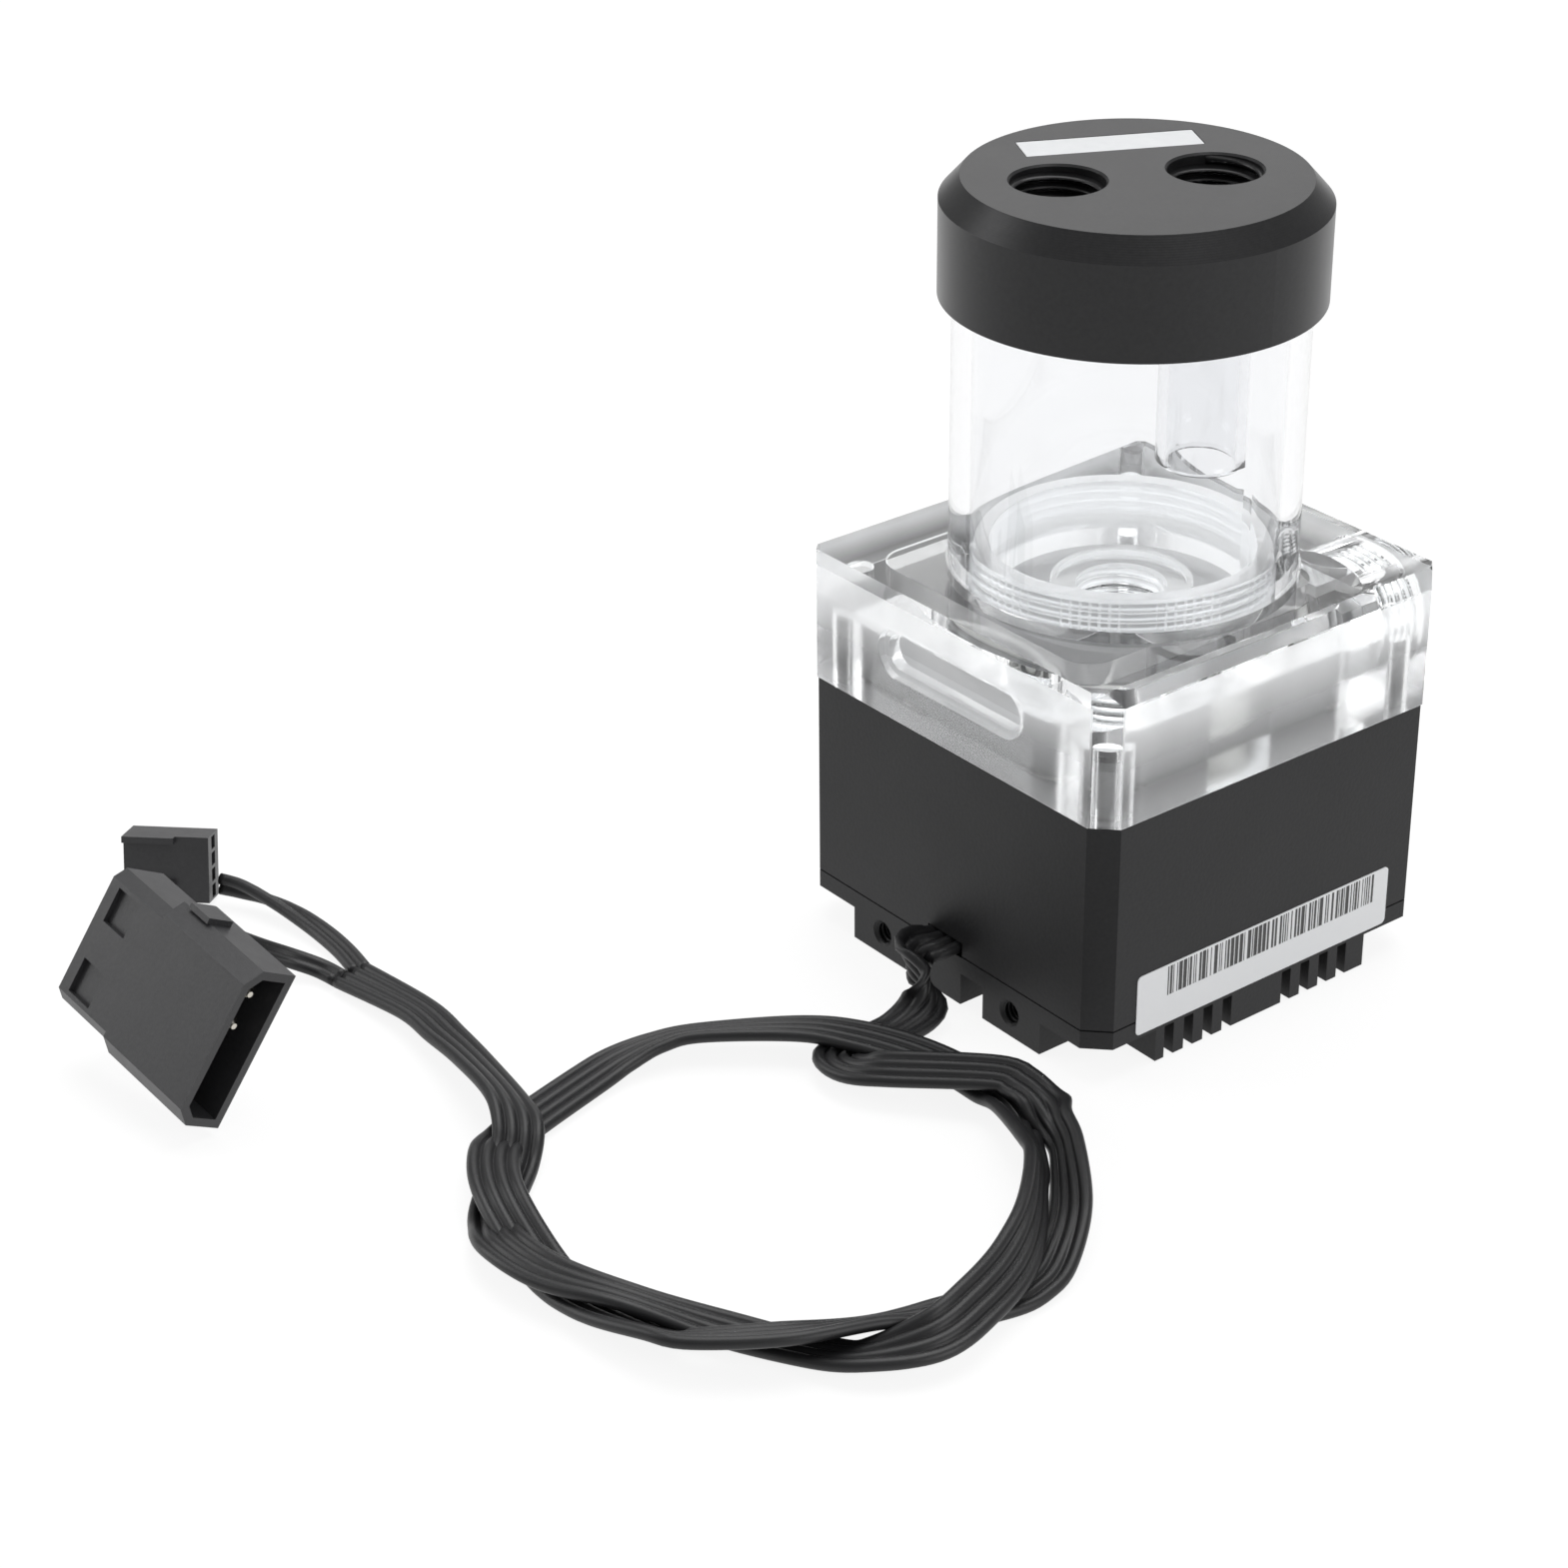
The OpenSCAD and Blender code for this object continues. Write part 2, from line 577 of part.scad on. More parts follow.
module flat_lead(route, w, t) {
    outline = flat_section(w, t);
    n = len(outline);
    m = len(route);
    rings = [for (i = [0:m - 1]) let (a = along(route, i), u = leaning(a, route[i][3]), v = cross(a, u))
        for (p = outline) pos(route, i) + p[0] * u + p[1] * v];
    sides = [for (i = [0:m - 2], j = [0:n - 1]) let (k = (j + 1) % n)
        each [[i * n + j, i * n + k, (i + 1) * n + k], [i * n + j, (i + 1) * n + k, (i + 1) * n + j]]];
    near = [[for (j = [n - 1:-1:0]) j]];
    far = [[for (j = [0:n - 1]) (m - 1) * n + j]];
    polyhedron(rings, concat([for (f = sides) [f[2], f[1], f[0]]], [for (f = near) [for (q = [n - 1:-1:0]) f[q]]],
                             [for (f = far) [for (q = [n - 1:-1:0]) f[q]]]));
}

module ribbon_cable() {
    color([0.1, 0.1, 0.1]) flat_lead(ribbon_route, cable_w, wire_d);
}

module signal_tail() {
    color([0.1, 0.1, 0.1]) flat_lead(signal_route, 2 * wire_d, wire_d);
}

module power_tail() {
    color([0.1, 0.1, 0.1]) flat_lead(power_route, 2 * wire_d, wire_d);
}

// ---------------------------------------------------------------- power plug
// Local frame: X points out of the mouth, Y across the row of pins, Z out of the upper face

plug_at = [-49, -132, 15.6];
plug_turn = [59, 9, 4];
plug_l = 31;
plug_w = 24.6;
plug_t = 8.6;
pin_pitch = 5.08;
pin_r = 1.05;

module at_plug() {
    translate(plug_at) rotate(plug_turn) children();
}

// Length of plug with a bevel along both upper edges
module plug_body(x0, x1, w, t, bevel) {
    a = w / 2;
    translate([x0, 0, 0]) rotate([90, 0, 90]) linear_extrude(x1 - x0)
        polygon([[-a, -t / 2], [a, -t / 2], [a, t / 2 - bevel], [a - bevel, t / 2],
                 [-a + bevel, t / 2], [-a, t / 2 - bevel]]);
}

module power_plug_shell() {
    step_x = -3.5;
    mouth = 13.5;
    color([0.2, 0.2, 0.21]) at_plug() difference() {
        union() {
            plug_body(step_x, plug_l / 2, plug_w, plug_t, 2.4);
            plug_body(-plug_l / 2, step_x + eps, plug_w - 3.2, plug_t, 1.6);
            translate([-1.6, plug_w / 2 - eps, -2]) cube([4.4, 0.9, 4.6]);
        }
        plug_body(plug_l / 2 - mouth, plug_l / 2 + 1, plug_w - 2.6, plug_t - 2.6, 1.7);
        for (i = [-1.5:1.5]) translate([-plug_l / 2 - 1, i * pin_pitch, 0]) rotate([0, 90, 0]) {
            cylinder(r = pin_r + 0.1, h = plug_l);
            cylinder(r = 2.2, h = 7.9);
        }
        translate([-plug_l / 2 - 1, 0.4, -plug_t / 2 - 1]) cube([7.9, 9.4, plug_t / 2 + 3]);
        for (s = [-1, 1]) translate([-plug_l / 2 + 2, s * 5.7 - 2.7, plug_t / 2 - 0.8]) cube([5, 5.4, 2]);
    }
}

module power_plug_pins() {
    color([0.8, 0.76, 0.66]) at_plug() for (i = [0.5, 1.5]) translate([-8.8, i * pin_pitch, 0])
        rotate([0, 90, 0]) {
            cylinder(r = pin_r, h = 21.4);
            translate([0, 0, 21.4 - eps]) cylinder(r1 = pin_r, r2 = 0.45, h = 0.9);
        }
}

// ---------------------------------------------------------------- fan connector
// Local frame: X points to the wires, Y across the contacts, Z out of the ribbed face

fan_at = [-96, -106.4, 5.8];
fan_turn = [75, 0, 46.5];
fan_l = 13.2;
fan_w = 10.3;
fan_t = 5.8;
contact_pitch = 2.54;

module at_fan() {
    translate(fan_at) rotate(fan_turn) children();
}

module fan_connector_shell() {
    color([0.17, 0.17, 0.18]) at_fan() difference() {
        union() {
            translate([-fan_l / 2, -fan_w / 2, -fan_t / 2]) cube([fan_l, fan_w, fan_t]);
            for (y = [fan_w / 2 - 1, -2.8]) translate([-fan_l / 2, y, fan_t / 2 - eps]) cube([8, 1, 1.1]);
        }
        for (i = [-1.5:1.5]) translate([-fan_l / 2 - 1, i * contact_pitch - 1, -1]) cube([fan_l + 2, 2, 2]);
        for (i = [-1.5:1.5]) translate([-2, i * contact_pitch - 0.6, -fan_t / 2 - 1]) cube([3, 1.2, 2.2]);
    }
}

module fan_connector_contacts() {
    color([0.82, 0.74, 0.5]) at_fan() for (i = [-1.5, -0.5])
        translate([-fan_l / 2 + 1, i * contact_pitch, 0]) difference() {
            translate([0, -0.9, -0.9]) cube([10.8, 1.8, 1.8]);
            translate([-1, -0.6, -0.6]) cube([7, 1.2, 1.2]);
        }
}

bottom_cover();
housing_sleeve();
cover_screws();
thermal_pad();
circuit_board();
stator_core();
stator_coils();
isolation_can();
can_seal();
bearing_shaft();
thrust_washer();
pump_casing();
impeller();
rotor_magnet();
rotor_bush();
pump_top();
tube_seal();
reservoir_tube();
cap_seal();
reservoir_cap();
cap_inlay();
return_tube();
rating_label();
ribbon_cable();
power_tail();
signal_tail();
power_plug_shell();
power_plug_pins();
fan_connector_shell();
fan_connector_contacts();
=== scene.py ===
# %% [markdown]
# # A coolant pump with a clear reservoir
# The frame of this object is a set of solids with exact sizes: the finned base, the motor
# housing, the clear pump block, the clear tube, the cap and everything inside them. This
# lesson gives those solids their finishes and adds what is finer than a solid is worth:
# screw threads, the print on the label and the four round wires of the flat cable.

import json
import math
import random

import bmesh
import bpy
from mathutils import Matrix, Vector


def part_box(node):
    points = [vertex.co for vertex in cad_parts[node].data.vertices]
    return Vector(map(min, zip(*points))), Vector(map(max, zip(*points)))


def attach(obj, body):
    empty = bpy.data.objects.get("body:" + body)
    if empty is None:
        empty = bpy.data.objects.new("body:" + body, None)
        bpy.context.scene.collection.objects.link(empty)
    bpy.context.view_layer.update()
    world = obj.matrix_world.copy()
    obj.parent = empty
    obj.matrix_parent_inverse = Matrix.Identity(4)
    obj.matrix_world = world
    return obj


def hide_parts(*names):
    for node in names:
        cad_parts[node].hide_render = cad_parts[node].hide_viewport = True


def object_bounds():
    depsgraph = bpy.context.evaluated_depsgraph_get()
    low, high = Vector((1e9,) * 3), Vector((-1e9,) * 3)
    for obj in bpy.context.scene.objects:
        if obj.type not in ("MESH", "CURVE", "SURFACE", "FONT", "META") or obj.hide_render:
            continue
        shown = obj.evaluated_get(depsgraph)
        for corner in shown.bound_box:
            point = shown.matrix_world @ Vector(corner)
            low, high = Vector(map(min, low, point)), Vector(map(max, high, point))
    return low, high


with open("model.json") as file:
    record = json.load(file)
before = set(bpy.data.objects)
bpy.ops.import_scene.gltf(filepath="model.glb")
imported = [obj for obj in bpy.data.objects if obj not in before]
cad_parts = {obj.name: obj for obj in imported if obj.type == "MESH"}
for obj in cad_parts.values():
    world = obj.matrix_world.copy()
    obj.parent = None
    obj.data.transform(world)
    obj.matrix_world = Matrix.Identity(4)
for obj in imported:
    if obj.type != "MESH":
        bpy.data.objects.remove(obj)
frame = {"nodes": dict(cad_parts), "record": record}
cad_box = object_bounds()
mm = 0.001
low, high = ([round(v, 4) for v in corner] for corner in cad_box)
print(len(frame["nodes"]), "solids, from", low, "to", high)

# %% [markdown]
# ## The camera
# The camera stands to the right of the cable side and looks down at the pump by 28.5
# degrees through a long lens, so that upright edges stay nearly parallel. Its three axes
# are worked out from the two view angles and a very small roll.

# %% Camera
turn, tilt, roll = math.radians(52.353), math.radians(28.545), math.radians(-0.680)
level_right = Vector((math.cos(turn), math.sin(turn), 0))
backwards = Vector((math.sin(turn) * math.cos(tilt), -math.cos(turn) * math.cos(tilt), math.sin(tilt)))
level_up = backwards.cross(level_right)
cam_right = level_right * math.cos(roll) + level_up * math.sin(roll)
cam_up = level_up * math.cos(roll) - level_right * math.sin(roll)
camera = bpy.data.objects.new("camera", bpy.data.cameras.new("camera"))
bpy.context.scene.collection.objects.link(camera)
camera.matrix_world = Matrix.Translation((0.33878, -0.32302, 0.27777)) @ Matrix(
    (cam_right, cam_up, backwards)).transposed().to_4x4()
camera.data.lens = 82.18
camera.data.sensor_width = 36
camera.data.clip_start = 0.01
bpy.context.scene.camera = camera
bpy.context.scene.view_settings.view_transform = "Standard"
print("camera at", [round(v, 3) for v in camera.location], "with a lens of", camera.data.lens)

# %% [markdown]
# ## Writing a material as an expression
# A node tree is quicker to read as arithmetic. `Flow` wraps one output socket, and its
# operators add Math nodes, so `ridge * 0.2 + 0.1` builds the nodes that work it out. `Finish`
# makes a material with one surface shader and adds any other node by name.

# %% Small helpers for node trees
class Flow:
    def __init__(self, tree, socket):
        self.tree, self.socket = tree, socket

    def math(self, how, *others, clamp=False):
        node = self.tree.nodes.new("ShaderNodeMath")
        node.operation, node.use_clamp = how, clamp
        for place, value in zip(node.inputs, (self, *others)):
            if isinstance(value, Flow):
                self.tree.links.new(value.socket, place)
            else:
                place.default_value = value
        return Flow(self.tree, node.outputs[0])

    def __add__(self, other): return self.math("ADD", other)
    def __sub__(self, other): return self.math("SUBTRACT", other)
    def __mul__(self, other): return self.math("MULTIPLY", other)
    def __gt__(self, other): return self.math("GREATER_THAN", other)
    def __lt__(self, other): return self.math("LESS_THAN", other)
    def size(self): return self.math("ABSOLUTE")
    def clip(self): return self.math("ADD", 0.0, clamp=True)


class Finish:
    def __init__(self, name, **surface):
        self.material = bpy.data.materials.new(name)
        self.material.use_nodes = True
        self.tree = self.material.node_tree
        self.tree.nodes.clear()
        self.out = self.tree.nodes.new("ShaderNodeOutputMaterial")
        self.surface = self.tree.nodes.new("ShaderNodeBsdfPrincipled")
        self.tree.links.new(self.surface.outputs[0], self.out.inputs["Surface"])
        for key, value in surface.items():
            self.put(self.surface, key, value)

    def put(self, node, key, value):
        place = node.inputs[key.replace("_", " ") if isinstance(key, str) else key]
        if isinstance(value, Flow):
            self.tree.links.new(value.socket, place)
        elif isinstance(value, (tuple, list)) and len(value) == 3 and len(place.default_value) == 4:
            place.default_value = (*value, 1)
        else:
            place.default_value = value

    def node(self, kind, settings=None, out=0, **values):
        made = self.tree.nodes.new("ShaderNode" + kind)
        for key, value in (settings or {}).items():
            setattr(made, key, value)
        for key, value in values.items():
            self.put(made, key, value)
        return Flow(self.tree, made.outputs[out])

    def place(self):
        return self.node("TexCoord", out="Object")

    def axis(self, letter):
        return self.node("SeparateXYZ", out=letter, Vector=self.place())

    def noise(self, scale, detail=3.0, rough=0.55, vector=None):
        return self.node(
            "TexNoise", out=0, Vector=vector or self.place(), Scale=scale, Detail=detail, Roughness=rough)

    def blend(self, mask, low, high):
        node = self.tree.nodes.new("ShaderNodeMix")
        node.data_type = "RGBA"
        for key, value in ((0, mask), (6, low), (7, high)):
            place = node.inputs[key]
            if isinstance(value, Flow):
                self.tree.links.new(value.socket, place)
            elif isinstance(value, (tuple, list)):
                place.default_value = (*value, 1)
            else:
                place.default_value = value
        return Flow(self.tree, node.outputs[2])

    def bump(self, height, strength, distance):
        return self.node("Bump", Height=height, Strength=strength, Distance=distance)


print("node helpers ready")

# %% [markdown]
# ## Floor, backdrop and light
# The pump stands on plain white. The floor sends the camera white and keeps a soft shadow;
# glass and metal see the same white round them. One large lamp overhead and two weaker ones
# at the sides give the satin metal its gradients, and a faint one behind puts a sheen on the
# level faces.

# %% Floor
FLOOR_GLOW = 0.88


def white_world_mask(finish):
    seen = finish.node("LightPath", out="Is Camera Ray")
    shine = finish.node("LightPath", out="Is Glossy Ray")
    through = finish.node("LightPath", out="Is Transmission Ray")
    return (seen + shine + through).clip()


floor_finish = Finish("studio_floor", Base_Color=(0.36, 0.36, 0.36), Roughness=1.0)
floor_finish.surface.inputs["Specular IOR Level"].default_value = 0
glow = floor_finish.tree.nodes.new("ShaderNodeEmission")
glow.inputs["Color"].default_value = (1, 1, 1, 1)
glow.inputs["Strength"].default_value = FLOOR_GLOW
pale = floor_finish.tree.nodes.new("ShaderNodeBsdfDiffuse")
pale.inputs["Color"].default_value = (0.14, 0.14, 0.14, 1)
added = floor_finish.tree.nodes.new("ShaderNodeAddShader")
floor_finish.tree.links.new(glow.outputs[0], added.inputs[0])
floor_finish.tree.links.new(pale.outputs[0], added.inputs[1])
choose = floor_finish.tree.nodes.new("ShaderNodeMixShader")
floor_finish.put(choose, 0, white_world_mask(floor_finish))
floor_finish.tree.links.new(floor_finish.surface.outputs[0], choose.inputs[1])
floor_finish.tree.links.new(added.outputs[0], choose.inputs[2])
floor_finish.tree.links.new(choose.outputs[0], floor_finish.out.inputs["Surface"])


def mesh_object(name, shape, finish, smooth=True):
    mesh = bpy.data.meshes.new(name)
    bmesh.ops.recalc_face_normals(shape, faces=shape.faces)
    shape.to_mesh(mesh)
    shape.free()
    made = bpy.data.objects.new(name, mesh)
    bpy.context.scene.collection.objects.link(made)
    mesh.materials.append(finish)
    for face in mesh.polygons:
        face.use_smooth = smooth
    return made


shape = bmesh.new()
bmesh.ops.create_grid(shape, x_segments=1, y_segments=1, size=3.0)
bmesh.ops.translate(shape, verts=shape.verts, vec=(0, 0, -0.0003))
floor = mesh_object("floor", shape, floor_finish.material, smooth=False)
print("floor laid")

# %% World and lamps
world = bpy.data.worlds.new("studio")
bpy.context.scene.world = world
world.use_nodes = True
tree = world.node_tree
tree.nodes.clear()
world_out = tree.nodes.new("ShaderNodeOutputWorld")
room = tree.nodes.new("ShaderNodeBackground")
room.inputs["Color"].default_value = (1, 1, 1, 1)
room.inputs["Strength"].default_value = 0.36
white = tree.nodes.new("ShaderNodeBackground")
white.inputs["Color"].default_value = (1, 1, 1, 1)
white.inputs["Strength"].default_value = 1.0
path = tree.nodes.new("ShaderNodeLightPath")
either = tree.nodes.new("ShaderNodeMath")
either.operation = "MAXIMUM"
tree.links.new(path.outputs["Is Camera Ray"], either.inputs[0])
tree.links.new(path.outputs["Is Transmission Ray"], either.inputs[1])
pick = tree.nodes.new("ShaderNodeMixShader")
tree.links.new(either.outputs[0], pick.inputs[0])
tree.links.new(room.outputs[0], pick.inputs[1])
tree.links.new(white.outputs[0], pick.inputs[2])
tree.links.new(pick.outputs[0], world_out.inputs["Surface"])


def lamp(name, at, to, size, power):
    data = bpy.data.lights.new(name, "AREA")
    data.shape, data.size, data.size_y, data.energy = "RECTANGLE", size[0], size[1], power
    made = bpy.data.objects.new(name, data)
    bpy.context.scene.collection.objects.link(made)
    made.location = at
    made.rotation_euler = (Vector(to) - Vector(at)).to_track_quat("-Z", "Y").to_euler()
    return made


lamp("overhead", (-0.15, 0.25, 0.95), (0, -0.02, 0.06), (0.9, 0.9), 9.0)
lamp("left_side", (-0.75, -0.65, 0.45), (0, -0.03, 0.06), (0.6, 0.8), 4.0)
lamp("right_side", (0.95, 0.15, 0.40), (0, 0, 0.06), (0.5, 0.7), 3.6)
lamp("sheen", (-0.83, 0.64, 0.57), (0, 0, 0.08), (0.75, 0.45), 0.95)

# %% [markdown]
# ## The flat cable
# A pump cable of this kind is four stranded wires in one soft black jacket. Each wire keeps
# its round back, so the cable has four ridges with a thin web between them. It can bend only
# over its flat side, which is why it stands on edge wherever the coil turns tightly. The
# route is a list of places with the lean of the flat side, and the outline is swept along a
# smooth curve through them. Near the end it is split into two pairs: one for the power plug
# and one for the fan connector.

# %% Route of the cable and of its two tails: x, y, z in millimetres and the lean in degrees
RIBBON_ROUTE = [
    [0, -24.4, 9.4, 0], [-0.4, -33.4, 9.2, -6], [-1.3, -36, 9, -30], [-1.2, -38.2, 8, -66],
    [0.6, -38.6, 6.9, -75], [2.4, -38.3, 5.6, -66], [4, -39.2, 4, -44], [4.4, -41.4, 2.3, -18],
    [4.4, -45, 1.2, -3], [4.3, -48.6, 1, 0], [4.6, -52.7, 1.2, 0], [6.1, -57.5, 2.2, -5],
    [10.8, -58.4, 3.2, 0], [15.9, -55.8, 4.6, 7], [26.9, -46.3, 5.6, 5], [30.8, -44.8, 5.3, 3],
    [35.1, -44.8, 4.7, 0], [40, -46.3, 3.8, 66], [45.7, -49.6, 3.6, 60], [55.3, -57.8, 2.9, 36],
    [60.9, -65.9, 1.5, 9], [62.3, -70.4, 1.1, 0], [62.3, -74.9, 1, 0], [60.4, -83.5, 1.5, 8],
    [57.8, -92.2, 2.8, 33], [54.5, -104.3, 4.8, 22], [48.1, -113.7, 4.7, 26], [43.4, -116.4, 3.8, 35],
    [31.9, -118.2, 1.9, 16], [20.2, -117.3, 1.1, 0], [7, -115.2, 4.6, 2], [-2, -110.2, 4, 6],
    [-7.6, -104.3, 1.3, 0], [-9.8, -98.7, 1, 0], [-12.8, -86.9, 1.1, -2], [-13.6, -81, 1.6, -8],
    [-12.8, -75.2, 2.4, -18], [-10.1, -69.5, 3.1, -20], [-1.2, -58.7, 3.9, -10], [5.2, -53.5, 3.8, -2],
    [12.9, -49.2, 3.2, 0], [20.3, -46.7, 2.5, -3], [26.5, -46.4, 2.2, -8], [32.6, -47.9, 2.7, -30],
    [43.6, -53.9, 4.5, -59], [48.8, -57.9, 5.5, -72], [56.8, -65.9, 6.1, -62], [61.9, -73.5, 5.8, -42],
    [65, -81.7, 5.5, -34], [65.9, -89.5, 4.4, -25], [62, -97, 2.6, 8], [57, -100.6, 1.5, 9],
    [44.9, -107.2, 1.3, 6], [35.2, -114.9, 4.1, 16], [25.2, -119.7, 4.3, 4], [15.5, -120.5, 3.9, 0],
    [8, -117, 1.3, -6], [4, -113.9, 1, 0], [-1.6, -107.5, 1.8, 13], [-5.3, -104, 4.2, 6],
    [-11.5, -101.6, 4.7, 26], [-23.9, -98.8, 3.2, 24], [-33.4, -97.4, 2.3, 16], [-42.5, -96.7, 2, 11],
    [-57.6, -98.3, 1.1, 0],
]
SIGNAL_ROUTE = [
    [-57.95, -96.5, 1.1, 0], [-64, -95.6, 1.2, 0], [-70.4, -95.4, 1.4, 0], [-77, -96.2, 2, 15],
    [-83, -97.8, 2.6, 45], [-87.2, -99.8, 3.1, 80], [-89.9, -101.5, 3.3, 90],
]
POWER_ROUTE = [
    [-57.95, -100.15, 1.1, 0], [-62, -101.2, 1.4, -5], [-65, -104.4, 3, -20], [-66, -109, 6, -40],
    [-65.4, -114, 10, -60], [-64.2, -119, 14.2, -75], [-63.2, -123.6, 18, -80], [-62.6, -126.8, 20.4, -85],
    [-60.6, -129.2, 21.6, -90], [-57.7, -129.8, 21.5, -90],
]
WIRE = 1.8


def smooth_route(points, step=0.9):
    """Even steps along a Catmull-Rom curve through the points, lean included."""
    dense = []
    last = len(points) - 1
    for i in range(last):
        a, b, c, d = (points[max(0, min(last, i + k))] for k in (-1, 0, 1, 2))
        for k in range(24):
            t = k / 24
            dense.append([
                0.5 * (2 * q + (r - p) * t + (2 * p - 5 * q + 4 * r - s) * t * t
                       + (3 * q - p - 3 * r + s) * t ** 3)
                for p, q, r, s in zip(a, b, c, d)])
    dense.append(list(points[last]))
    along = [0.0]
    for p, q in zip(dense, dense[1:]):
        along.append(along[-1] + math.dist(p[:3], q[:3]))
    count = max(8, round(along[-1] / step))
    even, k = [], 0
    for i in range(count + 1):
        want = along[-1] * i / count
        while k < len(along) - 2 and along[k + 1] < want:
            k += 1
        t = (want - along[k]) / max(1e-9, along[k + 1] - along[k])
        even.append([p + (q - p) * t for p, q in zip(dense[k], dense[k + 1])])
    return even, along[-1]


def wire_outline(wires, points=7):
    """Outline of several round wires side by side, joined by a web between their backs."""
    r = WIRE / 2
    middle = [(k - (wires - 1) / 2) * WIRE for k in range(wires)]
    top = []
    for k, centre in enumerate(middle):
        start = 180 if k == 0 else 160
        end = 0 if k == wires - 1 else 20
        for j in range(points):
            turn_at = math.radians(start + (end - start) * j / (points - 1))
            top.append((centre + r * math.cos(turn_at), r * math.sin(turn_at)))
    bottom = [(-u, -v) for u, v in top]
    return [(u, v) for u, v in top] + bottom[1:-1]


def flat_cable(name, route, wires, finish):
    places, length = smooth_route(route)
    outline = wire_outline(wires)
    shape = bmesh.new()
    rings = []
    for i, (x, y, z, lean) in enumerate(places):
        before, after = places[max(0, i - 1)], places[min(len(places) - 1, i + 1)]
        ahead = Vector([q - p for p, q in zip(before[:3], after[:3])]).normalized()
        level = Vector((0, 0, 1)).cross(ahead).normalized()
        tip = math.radians(lean)
        side = level * math.cos(tip) + ahead.cross(level) * math.sin(tip)
        back = ahead.cross(side)
        here = Vector((x, y, z))
        rings.append([shape.verts.new((here + side * u + back * v) * mm) for u, v in outline])
    for one, two in zip(rings, rings[1:]):
        for k in range(len(outline)):
            n = (k + 1) % len(outline)
            shape.faces.new((one[k], one[n], two[n], two[k]))
    shape.faces.new(rings[0][::-1])
    shape.faces.new(rings[-1])
    made = mesh_object(name, shape, finish)
    return made, [[c * mm for c in p[:3]] for p in places], length * mm


# %% [markdown]
# The jacket is soft black plastic with a dull shine: light runs along each ridge. Slight
# waviness in the roughness keeps the four ridges from looking ruled.

# %% Cable jacket and cables
jacket = Finish("wire_black", Base_Color=(0.012, 0.012, 0.013), IOR=1.45)
rub = jacket.noise(180.0, 3.0)
jacket.put(jacket.surface, "Roughness", rub * 0.14 + 0.36)
jacket.put(jacket.surface, "Base Color", jacket.blend(rub, (0.008, 0.008, 0.009), (0.016, 0.016, 0.017)))
jacket.put(jacket.surface, "Normal", jacket.bump(jacket.noise(900.0, 2.0), 0.10, 0.0002))

CORDS = (
    ("ribbon_cable", RIBBON_ROUTE, 4, (0, -0.0325, 0.0092), "bare", ()),
    ("signal_tail", SIGNAL_ROUTE, 2, None, "connector", ("fan_connector_shell", "fan_connector_contacts")),
    ("power_tail", POWER_ROUTE, 2, None, "plug", ("power_plug_shell", "power_plug_pins")),
)
for node, route, wires, leaves, end, on_it in CORDS:
    lead, line, length = flat_cable(node + "_wires", route, wires, jacket.material)
    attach(lead, "pump")
    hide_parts(node)
    print(lead.name, round(length, 3), "m with", len(lead.data.vertices), "points")

# %% [markdown]
# ## Finishes of the solids
# The base is machined from aluminium, blasted with fine beads and anodised black: a dark
# grey with a soft, even shine and a very fine grain. The cap has the same colour but is
# turned, so its flat top shows faint rings round the middle and reflects the room above.

# %% Metals
def put_on(finish, *nodes):
    for name in nodes:
        for place in frame["nodes"][name].material_slots:
            place.material = finish.material
    print(finish.material.name, "on", ", ".join(nodes))


anodised = Finish("anodised_black", Metallic=0.20, IOR=1.42)
grain = anodised.noise(1600.0, 2.0)
cloud = anodised.noise(60.0, 3.0)
anodised.put(anodised.surface, "Base Color", anodised.blend(
    grain, (0.010, 0.010, 0.011), (0.018, 0.018, 0.019)))
anodised.put(anodised.surface, "Roughness", cloud * 0.10 + 0.44)
anodised.put(anodised.surface, "Normal", anodised.bump(grain, 0.12, 0.0002))
put_on(anodised, "bottom_cover", "housing_sleeve")

turned = Finish("cap_black", Metallic=0.45, IOR=1.5)
px, py = turned.axis("X"), turned.axis("Y")
radius = (px * px + py * py).math("SQRT")
rings_cut = (radius * 26000.0).math("SINE") * 0.5 + 0.5
turned.put(turned.surface, "Base Color", turned.blend(
    turned.noise(1300.0, 2.0), (0.014, 0.014, 0.015), (0.024, 0.024, 0.025)))
turned.put(turned.surface, "Roughness", turned.noise(90.0, 3.0) * 0.06 + 0.30)
turned.put(turned.surface, "Normal", turned.bump(rings_cut, 0.05, 0.0001))
put_on(turned, "reservoir_cap")

satin = Finish("silver_inlay", Metallic=1.0)
satin.put(satin.surface, "Base Color", satin.blend(
    satin.noise(500.0, 3.0), (0.60, 0.61, 0.62), (0.68, 0.69, 0.70)))
satin.put(satin.surface, "Roughness", satin.noise(200.0, 3.0) * 0.10 + 0.30)
put_on(satin, "cap_inlay")

screw_steel = Finish("screw_steel", Metallic=0.8)
screw_steel.put(screw_steel.surface, "Base Color", screw_steel.blend(
    screw_steel.noise(700.0, 3.0), (0.05, 0.05, 0.05), (0.09, 0.09, 0.09)))
screw_steel.put(screw_steel.surface, "Roughness", screw_steel.noise(300.0, 2.0) * 0.12 + 0.34)
put_on(screw_steel, "cover_screws")

# %% [markdown]
# ## Clear acrylic
# The pump top is milled from a solid block. Its top face, bevels and chamfers are polished
# and clear. The four upright faces are left satin, and the pocket, the oblong recess and the
# well keep the fine marks of the cutter, so they scatter light and look white. Masks on the
# height and on the distance from the middle choose between the finishes, and a faint glow of
# the frosted surfaces stands for light that has been scattered many times inside the block.

